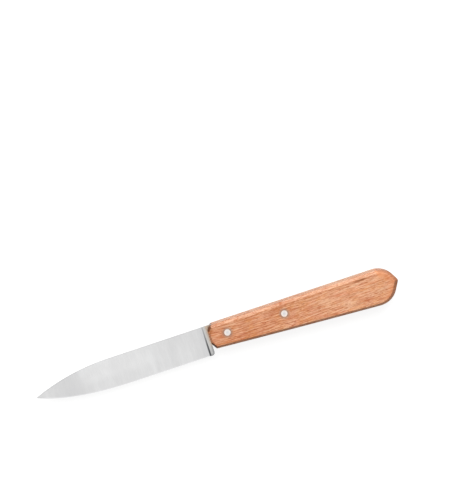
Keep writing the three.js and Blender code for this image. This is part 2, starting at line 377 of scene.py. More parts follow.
SIDE_LEVELS = (0.0, 0.25, 0.5, 0.75, 1.0)  # from the sharpening shoulder to the spine


def curve_height(x, height, curve):
    """Height of the spine or depth of the edge at x, where a parabola runs out to the tip."""
    length, corner = curve
    from_tip = x + BLADE_LENGTH
    if from_tip >= length:
        return height
    square, linear, rest = length - 2 * corner, 2 * (corner - length), length - from_tip
    if abs(square) < 1e-9:
        share = -rest / linear
    else:
        share = (-linear - math.sqrt(linear ** 2 - 4 * square * rest)) / (2 * square)
    return height * (1 - share ** 2)


def hollowed(ground, from_plunge):
    """Half thickness near the plunge line, where the wheel's corner left a hollow."""
    step = HALF_STOCK - ground
    reach = math.sqrt(2 * PLUNGE_RADIUS * step - step ** 2)
    left = max(0.0, reach - from_plunge)
    return ground + PLUNGE_RADIUS - math.sqrt(PLUNGE_RADIUS ** 2 - left ** 2)


def both_sides(x, side):
    """A closed ring from the (y, z) points of one side."""
    right = [(x, y, z) for y, z in side]
    left = [(x, y, -z) for y, z in reversed(side)]
    return right + left


def ground_ring(x):
    """Ring of the flat grind, with the sharpening bevel below it and the sanded spine above."""
    spine = curve_height(x, SPINE_HEIGHT, SPINE_DROP)
    edge = curve_height(x, -EDGE_DEPTH, EDGE_RISE)
    width = spine - edge
    from_plunge = -RICASSO_LENGTH - x
    bevel = SHARPENING_BEVEL * min(1.0, width / BEVEL_NARROWS_AT)
    full_width = SPINE_HEIGHT + EDGE_DEPTH
    slope = (HALF_STOCK - GRIND_DEPTH - HALF_SHOULDER) / (full_width - SHARPENING_BEVEL)
    shoulder = HALF_SHOULDER * bevel / SHARPENING_BEVEL
    half_spine = shoulder + slope * (width - bevel)
    spine_ease = min(SPINE_EASE, EASE_TO_THICKNESS * half_spine, EASE_TO_WIDTH * width)
    side = [(edge, hollowed(min(HALF_CUTTING_EDGE, shoulder), from_plunge))]
    for level in SIDE_LEVELS:
        rise = level * (width - bevel - spine_ease)
        side.append((edge + bevel + rise, hollowed(shoulder + slope * rise, from_plunge)))
    side.append((spine, side[-1][1] - spine_ease))
    return both_sides(x, side)


def flat_ring(x, low, high, lowest_level):
    """Ring of the unground sheet. Its levels start at lowest_level, so that neighbours share them."""
    side = [(low, HALF_STOCK)]
    for level in SIDE_LEVELS:
        side.append((lowest_level + level * (high - SPINE_EASE - lowest_level), HALF_STOCK))
    side.append((high, HALF_STOCK - SPINE_EASE))
    return both_sides(x, side)


def heel_depth(x):
    reach = max(0.0, x + HEEL_RADIUS)
    return -EDGE_DEPTH + HEEL_RADIUS - math.sqrt(HEEL_RADIUS ** 2 - reach ** 2)


def tang_limits(x):
    """Lower and upper edge of the tang, inside the handle's outline."""
    slant = math.radians(90 - LOWER_FRONT_SLANT)
    flare = math.radians(BELLY_FLARE)
    along_front = -FRONT_FLAT_BOTTOM + TANG_RECESS / math.cos(slant) - x * math.tan(slant)
    along_belly = -BELLY_AT_FRONT + TANG_RECESS / math.cos(flare) - x * math.tan(flare)
    into_end = max(0.0, x - TANG_LENGTH + TANG_END_RADIUS)
    rounding = TANG_END_RADIUS - math.sqrt(max(0.0, TANG_END_RADIUS ** 2 - into_end ** 2))
    return max(along_front, along_belly) + rounding, SPINE_HEIGHT - rounding


def tang_corner():
    """Where the tang's lower edge turns from the front slant into the belly."""
    slant = math.tan(math.radians(90 - LOWER_FRONT_SLANT))
    flare = math.tan(math.radians(BELLY_FLARE))
    drop = BELLY_AT_FRONT - FRONT_FLAT_BOTTOM
    easing = TANG_RECESS * (math.hypot(1, slant) - math.hypot(1, flare))
    return (drop + easing) / (slant - flare)


def blade_stations():
    """Places of the ground blade's rings: close at the tip and in the plunge hollow."""
    hollow_steps, long_steps, crowding = 12, 150, 1.5
    near_plunge = [-RICASSO_LENGTH - PLUNGE_RADIUS * step / hollow_steps for step in range(hollow_steps)]
    long_run = BLADE_LENGTH - RICASSO_LENGTH - PLUNGE_RADIUS
    rest = [-BLADE_LENGTH + long_run * (1 - step / long_steps) ** crowding for step in range(long_steps)]
    return near_plunge + rest + [-BLADE_LENGTH + TIP_FLAT]


def blade_mesh():
    """One skin from the tip through the ricasso and the heel to the end of the tang."""
    heel_steps, end_steps = 10, 12
    rings = [ground_ring(x) for x in reversed(blade_stations())]
    heel_low, high = tang_limits(0.0)
    bevel_level = -EDGE_DEPTH + SHARPENING_BEVEL
    heel_arc = [-HEEL_RADIUS * (1 - step / heel_steps) for step in range(heel_steps + 1)]
    for x in [-RICASSO_LENGTH, *heel_arc]:
        share = (x + RICASSO_LENGTH) / RICASSO_LENGTH
        lowest_level = bevel_level + share * (heel_low - bevel_level)
        rings.append(flat_ring(x, heel_depth(x), high, lowest_level))
    swings = [math.pi / 2 * step / end_steps for step in range(end_steps + 1)]
    end_arc = [TANG_LENGTH - TANG_END_RADIUS * (1 - math.sin(swing)) for swing in swings]
    for x in [0.0, tang_corner(), *end_arc]:
        low, high = tang_limits(x)
        rings.append(flat_ring(x, low, high, low))
    bm = bmesh.new()
    skin(bm, rings)
    bmesh.ops.remove_doubles(bm, verts=bm.verts, dist=WELD_DISTANCE)
    return cut_away(bm, rivet_holes())


# Rivets

def rivet_mesh(x):
    """A pin whose ends are hammered to a low dome and sanded flush with the wood."""
    flat = RIVET_RADIUS - RIVET_CORNER
    radii = [flat * math.sin(math.radians(degrees)) for degrees in range(0, 91, 10)]
    upper = [(radius, RIVET_HALF_LENGTH - RIVET_CROWN * (radius / RIVET_RADIUS) ** 2) for radius in radii]
    shoulder = upper[-1][1] - RIVET_CORNER
    for degrees in (30, 60, 90):
        swing = math.radians(degrees)
        upper.append((flat + RIVET_CORNER * math.sin(swing), shoulder + RIVET_CORNER * math.cos(swing)))
    lower = [(radius, -height) for radius, height in upper]
    bm = bmesh.new()
    turned(bm, lower + upper[::-1], x)
    return bm


# Material nodes

def srgb(red, green, blue):
    """A colour as it looks, in 0 to 255, for a shader socket."""
    def linear(value):
        share = value / 255
        return share / 12.92 if share <= 0.04045 else ((share + 0.055) / 1.055) ** 2.4
    return (linear(red), linear(green), linear(blue), 1.0)


def add(tree, kind, inputs=None, **settings):
    """Adds a node. An input is a plain value or the output that feeds it."""
    node = tree.nodes.new(kind)
    for name, value in settings.items():
        setattr(node, name, value)
    for name, value in (inputs or {}).items():
        if isinstance(value, bpy.types.NodeSocket):
            tree.links.new(value, node.inputs[name])
        else:
            node.inputs[name].default_value = value
    return node


def maths(tree, operation, first, second=0.0, third=0.0):
    return add(tree, "ShaderNodeMath", {0: first, 1: second, 2: third}, operation=operation).outputs[0]


def times(tree, first, second):
    return maths(tree, "MULTIPLY", first, second)


def vectors(tree, operation, *operands):
    """A vector operation. The ones that measure give a plain number."""
    node = add(tree, "ShaderNodeVectorMath", dict(enumerate(operands)), operation=operation)
    measured = operation in ("LENGTH", "DISTANCE", "DOT_PRODUCT")
    return node.outputs["Value" if measured else "Vector"]


def joined(tree, x=0.0, y=0.0, z=0.0):
    return add(tree, "ShaderNodeCombineXYZ", {"X": x, "Y": y, "Z": z}).outputs[0]


def remap(tree, value, low, high, to_low=0.0, to_high=1.0, smooth=True):
    kind = "SMOOTHSTEP" if smooth else "LINEAR"
    inputs = {"Value": value, "From Min": low, "From Max": high, "To Min": to_low, "To Max": to_high}
    return add(tree, "ShaderNodeMapRange", inputs, interpolation_type=kind).outputs["Result"]


def evenly(tree, share, start, end):
    """A value that runs evenly from start to end as the share runs from 0 to 1."""
    return remap(tree, share, 0.0, 1.0, start, end, smooth=False)


def between(tree, share, start, end):
    """A value between two others, by a share."""
    return add(tree, "ShaderNodeMix", {0: share, 2: start, 3: end}).outputs[0]


def blend(tree, share, under, over):
    """A colour between two others, by a share."""
    return add(tree, "ShaderNodeMix", {0: share, 6: under, 7: over}, data_type="RGBA").outputs[2]


def tint(tree, colour, mask, share, over):
    """Lays a plain colour over another by this share, where the mask is 1."""
    return blend(tree, times(tree, mask, share), colour, srgb(*over))


def new_group(name, inputs, output):
    """An empty node group with named inputs of these kinds and values, and one named mask to put out."""
    group = bpy.data.node_groups.new(name, "ShaderNodeTree")
    for socket_name, kind, value in inputs:
        socket = group.interface.new_socket(socket_name, in_out="INPUT", socket_type=kind)
        if value is not None:
            socket.default_value = value
    group.interface.new_socket(output, in_out="OUTPUT", socket_type="NodeSocketFloat")
    entry = group.nodes.new("NodeGroupInput")
    leave = group.nodes.new("NodeGroupOutput")
    return group, entry.outputs, leave.inputs


def stroke_lines_group():
    """Fine lines along the x of the vector it is given: grain, grinding or sanding strokes."""
    group, given, result = new_group(
        "stroke_lines",
        [
            ("Vector", "NodeSocketVector", None),
            ("Length", "NodeSocketFloat", 10.0),
            ("Width", "NodeSocketFloat", 0.5),
            ("Detail", "NodeSocketFloat", 1.5),
            ("Low", "NodeSocketFloat", 0.4),
            ("High", "NodeSocketFloat", 0.6),
        ],
        "Lines",
    )
    along = maths(group, "DIVIDE", 1.0, given["Length"])
    across = maths(group, "DIVIDE", 1.0, given["Width"])
    stretched = vectors(group, "MULTIPLY", given["Vector"], joined(group, along, across, across))
    noise = add(
        group,
        "ShaderNodeTexNoise",
        {"Vector": stretched, "Scale": 1.0, "Detail": given["Detail"], "Roughness": 0.6},
    )
    lines = remap(group, noise.outputs["Fac"], given["Low"], given["High"])
    group.links.new(lines, result["Lines"])
    return group


def soft_patches_group():
    """Broad uneven patches, as handling and polishing leave them."""
    group, given, result = new_group(
        "soft_patches",
        [
            ("Vector", "NodeSocketVector", None),
            ("Size", "NodeSocketFloat", 10.0),
        ],
        "Patches",
    )
    shrunk = maths(group, "DIVIDE", 1.0, given["Size"])
    noise = add(
        group, "ShaderNodeTexNoise", {"Vector": given["Vector"], "Scale": shrunk, "Detail": 2.0}
    )
    group.links.new(remap(group, noise.outputs["Fac"], 0.32, 0.68), result["Patches"])
    return group


STROKE_LINES = stroke_lines_group()
SOFT_PATCHES = soft_patches_group()

# One kind of stroke: its place in the noise, its length and width in millimetres, the noise's values at
# which it starts and is full, and the noise's detail.
Strokes = namedtuple("Strokes", "place length width low high detail", defaults=(1.5,))
UNMOVED = (0.0, 0.0, 0.0)


def strokes(tree, vector, kind):
    inputs = {
        "Vector": vectors(tree, "ADD", vector, kind.place),
        "Length": kind.length,
        "Width": kind.width,
        "Detail": kind.detail,
        "Low": kind.low,
        "High": kind.high,
    }
    return add(tree, "ShaderNodeGroup", inputs, node_tree=STROKE_LINES).outputs["Lines"]


def patches(tree, vector, size, place=UNMOVED):
    inputs = {"Vector": vectors(tree, "ADD", vector, place), "Size": size}
    return add(tree, "ShaderNodeGroup", inputs, node_tree=SOFT_PATCHES).outputs["Patches"]


# What a material knows of a point: its place on the knife's axes in millimetres, and where it faces.
Surface = namedtuple("Surface", "place x y z facing_x facing_y facing_z")


def surface(tree):
    local = add(tree, "ShaderNodeTexCoord").outputs["Object"]
    moved = vectors(tree, "SUBTRACT", local, knife_origin)
    scaling = {0: moved, "Scale": 1 / MM}
    place = add(tree, "ShaderNodeVectorMath", scaling, operation="SCALE").outputs["Vector"]
    facing = add(tree, "ShaderNodeNewGeometry").outputs["Normal"]
    parts = [add(tree, "ShaderNodeSeparateXYZ", {0: vector}).outputs for vector in (place, facing)]
    return Surface(place, *parts[0], *parts[1])


def new_material(name, metallic):
    material = bpy.data.materials.new(name)
    material.use_nodes = True
    tree = material.node_tree
    finish = tree.nodes["Principled BSDF"].inputs
    finish["Metallic"].default_value = metallic
    return material, tree, finish


def dress(tree, finish, colour, roughness, normal):
    tree.links.new(colour, finish["Base Color"])
    tree.links.new(roughness, finish["Roughness"])
    tree.links.new(normal, finish["Normal"])


def relief(tree, height, depth_mm, strength):
    inputs = {"Height": height, "Distance": depth_mm * MM, "Strength": strength}
    return add(tree, "ShaderNodeBump", inputs).outputs["Normal"]


def from_axis(tree, at, through):
    """Distance from an axis that runs through the knife from side to side."""
    level = vectors(tree, "MULTIPLY", at.place, (1.0, 1.0, 0.0))
    return vectors(tree, "DISTANCE", level, (*through, 0.0))


def from_rivet(tree, at):
    """Distance from the axis of the nearer rivet."""
    distances = [from_axis(tree, at, (x, RIVET_HEIGHT)) for x in RIVET_PLACES.values()]
    return maths(tree, "MINIMUM", *distances)


def inside_corner(tree, past_x, past_y, radius):
    """How deep a point lies inside a round corner, from how far it is past the arc's centre each way."""
    spoke = joined(tree, maths(tree, "MAXIMUM", past_x, 0.0), maths(tree, "MAXIMUM", past_y, 0.0))
    return maths(tree, "SUBTRACT", radius, vectors(tree, "LENGTH", spoke))


# Beech

# The grain's slope along the handle, its further dip towards the front end, and its wandering
GRAIN_SLOPE = -0.02
GRAIN_DIP = 2.0
GRAIN_DIP_LENGTH = 13.0
GRAIN_SWAY = (0.0, 0.4, 0.4)
SWAY_SCALE = 0.06

FRONT_HALF = (66.0, 18.0)  # x from which the wood darkens towards the front, and where it is darkest
REAR_HALF = (46.0, 70.0)  # x between which the marks change to those of the rear
UNDER_ARRIS = (4.6, 5.8)  # y between which the side darkens below the back's chamfer
LOWER_FRONT_SHADE = (-0.2, -1.3)  # y between which painted shade darkens the front end downwards
CUT_DARKENING_DEPTH = (2.4, 0.4)  # how deep behind a cut the side face darkens, and where it is full
UPPER_CUT_DARKENING_DEPTH = (3.0, 1.0)  # the same behind the upper cut of the front end
BUTT_DEPTH = (5.5, 2.0)  # how deep behind the butt the wood warms, and where it is full; then the same for the painted shade on its upper and lower rims
UPPER_RIM_SHADE_DEPTH = (2.1, 0.1)
LOWER_RIM_SHADE_DEPTH = (3.2, 0.3)
DUST_REACH = (1.7, 0.3)  # how far round a rivet's hole its dust shows, and where it is full
VEIN_PLACE = (86.2, 6.15)
VEIN_LENGTH = 12.0
VEIN_WIDTH = 1.25
VEIN_SLOPE = 0.03
RUBBED_CORNER = (98.6, 6.2)
RUBBED_REACH = (4.0, 0.5)
BUTT_CORNER_STARTS = (-1.0, 2.5)  # before and behind the middle of the butt's round corner
PITH = (-26.0, 7.0)  # y and z of the middle of the tree
RING_WIDTH = 1.5
RING_WANDER_SCALE = 0.35

BANDS = Strokes(UNMOVED, 60.0, 3.0, 0.3, 0.7)
PALE_LINES = Strokes((31.0, 7.0, 3.0), 10.0, 0.45, 0.46, 0.6, 3.0)
RAYS = Strokes((5.0, 19.0, 11.0), 2.2, 0.38, 0.49, 0.6, 3.0)
DARK_DASHES = Strokes((13.0, 29.0, 7.0), 8.0, 0.36, 0.48, 0.6, 2.0)
PALE_DASHES = DARK_DASHES._replace(low=0.5, high=0.38)
DARK_STREAKS = Strokes((11.0, 2.0, 37.0), 22.0, 0.6, 0.42, 0.62, 2.0)
FIBRES = Strokes(UNMOVED, 14.0, 0.1, 0.3, 0.7, 3.0)
PORES = Strokes(UNMOVED, 1.6, 0.12, 0.56, 0.7)
RAYS_IN_CUT = Strokes(UNMOVED, 2.4, 0.2, 0.52, 0.66)

# The marks that several layers of the wood's look share. rear is 1 in the rear half.
Grain = namedtuple("Grain", "space rear reddish flecks fibres pores")


def grain_space(tree, at):
    """The knife's axes bent along the grain, which dips at the front, straightens and wanders."""
    fading = maths(tree, "EXPONENT", times(tree, at.x, -1 / GRAIN_DIP_LENGTH))
    dip = maths(tree, "MULTIPLY_ADD", fading, -GRAIN_DIP, times(tree, at.x, GRAIN_SLOPE))
    leaned = vectors(tree, "ADD", at.place, joined(tree, y=dip))
    sway = add(tree, "ShaderNodeTexNoise", {"Vector": leaned, "Scale": SWAY_SCALE, "Detail": 1.0})
    return vectors(tree, "MULTIPLY_ADD", sway.outputs["Color"], GRAIN_SWAY, leaned)


def beech_grain(tree, at):
    space = grain_space(tree, at)
    fibres = strokes(tree, space, FIBRES)
    rays = strokes(tree, space, RAYS)
    return Grain(
        space=space,
        rear=remap(tree, at.x, *REAR_HALF),
        reddish=patches(tree, space, size=2.5, place=(23.0, 9.0, 5.0)),
        flecks=times(tree, rays, evenly(tree, fibres, 0.7, 1.1)),
        fibres=fibres,
        pores=strokes(tree, space, PORES),
    )


def behind_cut(tree, at, through, facing):
    """How deep a point lies behind a straight cut across the handle, seen from the side."""
    angle = math.radians(facing)
    along = times(tree, maths(tree, "SUBTRACT", at.x, through[0]), -math.cos(angle))
    return maths(tree, "MULTIPLY_ADD", maths(tree, "SUBTRACT", at.y, through[1]), -math.sin(angle), along)


def from_front_end(tree, at):
    """How deep a point lies behind the upper cut of the front end, and behind its nearest cut."""
    upper = behind_cut(tree, at, (0.0, FRONT_FLAT_TOP), 180 - UPPER_FRONT_SLANT)
    lower = behind_cut(tree, at, (0.0, -FRONT_FLAT_BOTTOM), 180 + LOWER_FRONT_SLANT)
    return upper, maths(tree, "MINIMUM", at.x, maths(tree, "MINIMUM", upper, lower))


def from_butt(tree, at):
    """How deep a point lies behind the butt: its upper cut with the round corner, and its lower cut."""
    nose = (HANDLE_LENGTH, -NOSE_BELOW_AXIS)
    upper = behind_cut(tree, at, nose, BUTT_SLANT)
    lower = behind_cut(tree, at, nose, -BUTT_SLANT)
    slant = math.radians(BUTT_SLANT)
    middle_y = BACK_HEIGHT - BUTT_RADIUS
    middle_x = nose[0] - (BUTT_RADIUS + (middle_y - nose[1]) * math.sin(slant)) / math.cos(slant)
    past_x = maths(tree, "SUBTRACT", at.x, middle_x)
    past_y = maths(tree, "SUBTRACT", at.y, middle_y)
    corner = inside_corner(tree, past_x, past_y, BUTT_RADIUS)
    before_corner = remap(tree, past_x, *BUTT_CORNER_STARTS, BUTT_RADIUS, 0.0)
    corner = maths(tree, "ADD", corner, before_corner)
    return maths(tree, "MINIMUM", upper, corner), lower


def on_side_face(tree, at):
    return remap(tree, maths(tree, "ABSOLUTE", at.facing_z), 0.85, 0.97)


def beech_ground(tree, at, grain):
    """The colour between the marks: darker in the front half, with golden, warm and reddish patches."""
    bands = strokes(tree, grain.space, BANDS)
    golden = patches(tree, grain.space, size=4.5, place=(17.0, 3.0, 29.0))
    warm = patches(tree, grain.space, size=8.0, place=(3.0, 41.0, 0.0))
    colour = blend(tree, bands, srgb(254, 188, 150), srgb(255, 197, 161))
    colour = tint(tree, colour, remap(tree, at.x, *FRONT_HALF), 0.78, (197, 115, 71))
    colour = tint(tree, colour, grain.reddish, evenly(tree, grain.rear, 0.36, 0.12), (216, 118, 84))
    colour = tint(tree, colour, golden, 0.75, (240, 166, 98))
    return tint(tree, colour, warm, 0.5, (246, 157, 124))


def sheen_and_shade_by_facing(tree, at, colour):
    """Painted light by the way a face turns: a painted sheen pales the chamfers of the back, a painted
    grazing reflection greys the back and painted shade darkens the belly.
    """
    upright = maths(tree, "ABSOLUTE", at.facing_z)
    # Painted sheen on the chamfers that face the softbox.
    back_chamfer_sheen = remap(tree, times(tree, at.facing_y, upright), 0.2, 0.45)
    colour = tint(tree, colour, back_chamfer_sheen, 0.8, (238, 199, 175))
    # Painted grazing reflection that greys the back.
    back_grazing_reflection = remap(tree, at.facing_y, 0.8, 0.97)
    colour = tint(tree, colour, back_grazing_reflection, 0.6, (182, 164, 134))
    # Painted shade on the belly, which faces away from the softbox.
    belly_shade = remap(tree, at.facing_y, -0.3, -0.6)
    colour = tint(tree, colour, belly_shade, 0.35, (96, 56, 30))
    under_arris = times(tree, on_side_face(tree, at), remap(tree, at.y, *UNDER_ARRIS))
    return tint(tree, colour, under_arris, 0.3, (196, 128, 86))


def mineral_vein(tree, at):
    """The one dark vein in this piece of wood, below the chamfer of the back."""
    along = maths(tree, "SUBTRACT", at.x, VEIN_PLACE[0])
    above = maths(tree, "SUBTRACT", at.y, VEIN_PLACE[1])
    across = maths(tree, "MULTIPLY_ADD", along, -VEIN_SLOPE, above)
    spot = joined(
        tree, maths(tree, "DIVIDE", along, VEIN_LENGTH / 2), maths(tree, "DIVIDE", across, VEIN_WIDTH / 2)
    )
    darkening = remap(tree, along, -VEIN_LENGTH / 2, VEIN_LENGTH / 3, 0.3, 1.0)
    return times(tree, remap(tree, vectors(tree, "LENGTH", spot), 1.0, 0.4), darkening)


def grain_lines(tree, at, grain, colour):
    """Short dark flecks among long pale and dark lines, with fibres and pores over all of them."""
    pale = strokes(tree, grain.space, PALE_LINES)
    colour = tint(tree, colour, pale, evenly(tree, grain.rear, 0.6, 1.0), (254, 204, 165))
    fleck_share = times(tree, grain.flecks, evenly(tree, grain.rear, 1.0, 0.75))
    fleck_colour = blend(tree, grain.reddish, srgb(188, 104, 52), srgb(174, 84, 56))
    colour = blend(tree, fleck_share, colour, fleck_colour)
    dark = strokes(tree, grain.space, DARK_STREAKS)
    colour = tint(tree, colour, dark, evenly(tree, grain.rear, 0.4, 0.22), (212, 133, 91))
    colour = tint(tree, colour, strokes(tree, grain.space, DARK_DASHES), 0.5, (186, 106, 62))
    colour = tint(tree, colour, strokes(tree, grain.space, PALE_DASHES), 0.6, (255, 206, 168))
    colour = tint(tree, colour, grain.fibres, 0.16, (190, 118, 76))
    colour = tint(tree, colour, grain.pores, 0.35, (150, 86, 54))
    return tint(tree, colour, mineral_vein(tree, at), 0.95, (140, 80, 38))


def front_end_stain_and_shade(tree, at, colour):
    """End grain drinks the finish and turns dark: most of all the slanted cuts of the front end. The side
    face darkens next to the cuts, and painted shade darkens the lower cut and the lower part of the front
    end.
    """
    upper_cut, nearest_cut = from_front_end(tree, at)
    beside_cut = remap(tree, at.facing_x, -0.28, -0.1)
    darkened_beside_cut = times(tree, beside_cut, remap(tree, nearest_cut, *CUT_DARKENING_DEPTH))
    colour = tint(tree, colour, darkened_beside_cut, 0.36, (150, 86, 46))
    darkened_below_upper_cut = times(tree, on_side_face(tree, at), remap(tree, upper_cut, *UPPER_CUT_DARKENING_DEPTH))
    colour = tint(tree, colour, darkened_below_upper_cut, 0.45, (156, 84, 30))

    front_cut = remap(tree, at.facing_x, -0.1, -0.28)
    upper_thirst = remap(tree, at.facing_y, 0.1, 0.4, 0.0, 0.93)
    # The lower cut is end grain with painted shade over it.
    lower_end_grain_and_shade = remap(tree, at.facing_y, -0.04, -0.24, 0.0, 0.93)
    # Painted shade on the lower part of the front end.
    lower_front_shade = remap(tree, at.y, *LOWER_FRONT_SHADE, 0.0, 0.8)
    lower_end_grain_and_shade = maths(tree, "MAXIMUM", lower_end_grain_and_shade, lower_front_shade)
    end_grain_and_lower_shade = maths(tree, "MAXIMUM", upper_thirst, lower_end_grain_and_shade)
    cut_colour = blend(tree, lower_end_grain_and_shade, srgb(102, 52, 14), srgb(46, 20, 6))
    return blend(tree, times(tree, front_cut, end_grain_and_lower_shade), colour, cut_colour)


def butt_tone_and_shade(tree, at, colour):
    """The wood warms near the butt, painted shade darkens its rims and the faces that turn away from the
    softbox, and the corner above the nose is rubbed pale.
    """
    upper_depth, lower_depth = from_butt(tree, at)
    near_butt = remap(tree, maths(tree, "MINIMUM", upper_depth, lower_depth), *BUTT_DEPTH)
    colour = tint(tree, colour, near_butt, 0.5, (230, 142, 90))
    rubbed = remap(tree, from_axis(tree, at, RUBBED_CORNER), *RUBBED_REACH)
    colour = tint(tree, colour, rubbed, 0.4, (255, 178, 128))
    # Painted shade on the upper and lower rims of the butt.
    colour = tint(tree, colour, remap(tree, upper_depth, *UPPER_RIM_SHADE_DEPTH), 0.55, (154, 104, 80))
    colour = tint(tree, colour, remap(tree, lower_depth, *LOWER_RIM_SHADE_DEPTH), 0.4, (152, 92, 62))
    # Painted shade on the faces of the butt that turn down and away from the softbox.
    turned_from_softbox = maths(tree, "MULTIPLY_ADD", at.facing_y, -0.5, at.facing_x)
    return tint(tree, colour, remap(tree, turned_from_softbox, 0.4, 0.8), 0.26, (142, 90, 62))


def year_rings(tree, at):
    """Late wood of the year rings round the middle of the tree."""
    from_pith = vectors(tree, "SUBTRACT", at.place, (0.0, *PITH))
    reach = vectors(tree, "LENGTH", vectors(tree, "MULTIPLY", from_pith, (0.0, 1.0, 1.0)))
    uneven = {"Vector": at.place, "Scale": RING_WANDER_SCALE, "Detail": 2.0}
    wander = add(tree, "ShaderNodeTexNoise", uneven).outputs["Fac"]
    reach = maths(tree, "ADD", reach, wander)
    from_early_wood = maths(tree, "PINGPONG", reach, RING_WIDTH / 2)
    return remap(tree, from_early_wood, RING_WIDTH * 0.2, RING_WIDTH * 0.5)


def cut_ends(tree, at, grain, cut_across, colour):
    """The cut ends show the year rings, the rays that cross them and the open ends of the pores."""
    rings = times(tree, year_rings(tree, at), cut_across)
    colour = tint(tree, colour, rings, 0.4, (108, 60, 32))
    upwards = joined(tree, at.y, at.z, at.x)
    rays = times(tree, strokes(tree, upwards, RAYS_IN_CUT), cut_across)
    colour = tint(tree, colour, rays, 0.3, (206, 144, 100))
    open_pores = times(tree, grain.pores, cut_across)
    return tint(tree, colour, open_pores, 0.45, (74, 40, 22))


def rivet_dust(tree, at, colour):
    """Grey metal dust from sanding the rivets stays in the wood round them."""
    from_hole = maths(tree, "SUBTRACT", from_rivet(tree, at), HOLE_RADIUS)
    return tint(tree, colour, remap(tree, from_hole, *DUST_REACH), 0.5, (146, 130, 120))


def beech():
    material, tree, finish = new_material("handle_beech", metallic=0.0)
    finish["Specular IOR Level"].default_value = 0.35
    at = surface(tree)
    grain = beech_grain(tree, at)
    cut_across = remap(tree, maths(tree, "ABSOLUTE", at.facing_x), 0.35, 0.8)

    colour = beech_ground(tree, at, grain)
    colour = sheen_and_shade_by_facing(tree, at, colour)
    colour = grain_lines(tree, at, grain, colour)
    colour = front_end_stain_and_shade(tree, at, colour)
    colour = butt_tone_and_shade(tree, at, colour)
    colour = cut_ends(tree, at, grain, cut_across, colour)
    colour = rivet_dust(tree, at, colour)

    rough = maths(tree, "MULTIPLY_ADD", grain.flecks, 0.12, 0.46)
    rough = maths(tree, "MAXIMUM", rough, times(tree, cut_across, 0.95))
    hollows = maths(tree, "MULTIPLY_ADD", grain.fibres, 0.3, grain.pores)
    hollows = maths(tree, "MULTIPLY_ADD", grain.flecks, 0.5, hollows)
    surface_height = maths(tree, "SUBTRACT", 1.0, hollows)
    dress(tree, finish, colour, rough, relief(tree, surface_height, depth_mm=0.03, strength=0.5))
    return material


# Steel

# Where the painted highlight on the blade is brightest.
HIGHLIGHT_AT = -53.0
HIGHLIGHT_REACH = (38.0, 4.0)  # how far from there the painted highlight starts, and how near it is full
# Where the painted shade near the tip is darkest, and its reach.
TIP_SHADE_AT = -81.0
TIP_SHADE_REACH = (13.0, 1.0)
HIGHLIGHT_RISE = (-4.0, 1.0)  # y between which the painted highlight grows
NEAR_PLUNGE = (-8.0, -3.0)  # x between which the blade darkens towards the plunge line
PLUNGE_LINE = 0.1  # half the width over which the grind ends
HEEL_SHADE = (-1.0, -7.0)  # y between which painted shade darkens the ricasso towards the heel
ROLLED_SHADE_DEPTH = (1.4, 0.1)  # how deep the painted shade of the heel's rolled edge reaches, and where it is full
ROLLED_SHADE_FALL = (-1.5, -4.0)  # y between which that painted shade begins
WOOD_REFLECTION_REACH = (-1.5, 0.0)  # x between which the painted reflection of the wood grows stronger
WOOD_REFLECTION_RISE = (-4.5, -1.5)  # and y
SOOT_AND_SHADE_FALL = (9.5, -5.0)  # y between which the soot and painted shade grow darker
TANG_STARTS = (1.8, 2.6)  # x between which the sheet's finish turns into the tang's
GRINDING = Strokes(UNMOVED, 14.0, 0.12, 0.3, 0.7)
GRINDING_BANDS = Strokes((3.0, 40.0, 9.0), 24.0, 3.4, 0.2, 0.8)
TANG_SANDING = Strokes(UNMOVED, 7.0, 0.11, 0.32, 0.68)


def near_place(tree, at, x, reach):
    """1 near a place along the blade, falling away to both sides."""
    return remap(tree, maths(tree, "ABSOLUTE", maths(tree, "SUBTRACT", at.x, x)), *reach)


def ground_steel(tree, at, across, grinding):
    """Satin of the wheel, with a painted highlight in the middle of the blade and painted shade near the
    tip; darker towards the plunge line, bright at the bevel.
    """
    bands = strokes(tree, across, GRINDING_BANDS)
    # Painted highlight in the middle of the blade.
    blade_highlight = near_place(tree, at, HIGHLIGHT_AT, HIGHLIGHT_REACH)
    blade_highlight = times(tree, blade_highlight, remap(tree, at.y, *HIGHLIGHT_RISE, 0.4, 1.0))
    # Painted shade near the tip.
    tip_shade = near_place(tree, at, TIP_SHADE_AT, TIP_SHADE_REACH)
    colour = blend(tree, bands, srgb(219, 219, 219), srgb(231, 231, 231))
    colour = tint(tree, colour, blade_highlight, 0.7, (246, 246, 246))
    colour = tint(tree, colour, tip_shade, 0.5, (207, 207, 208))
    colour = tint(tree, colour, patches(tree, at.place, size=21.0), 0.4, (215, 214, 214))
    colour = tint(tree, colour, grinding, 0.25, (198, 199, 201))
    colour = tint(tree, colour, remap(tree, at.x, *NEAR_PLUNGE), 0.35, (196, 197, 199))
    bevel = remap(tree, at.facing_y, -0.08, -0.15)
    return tint(tree, colour, bevel, 0.6, (240, 240, 241))


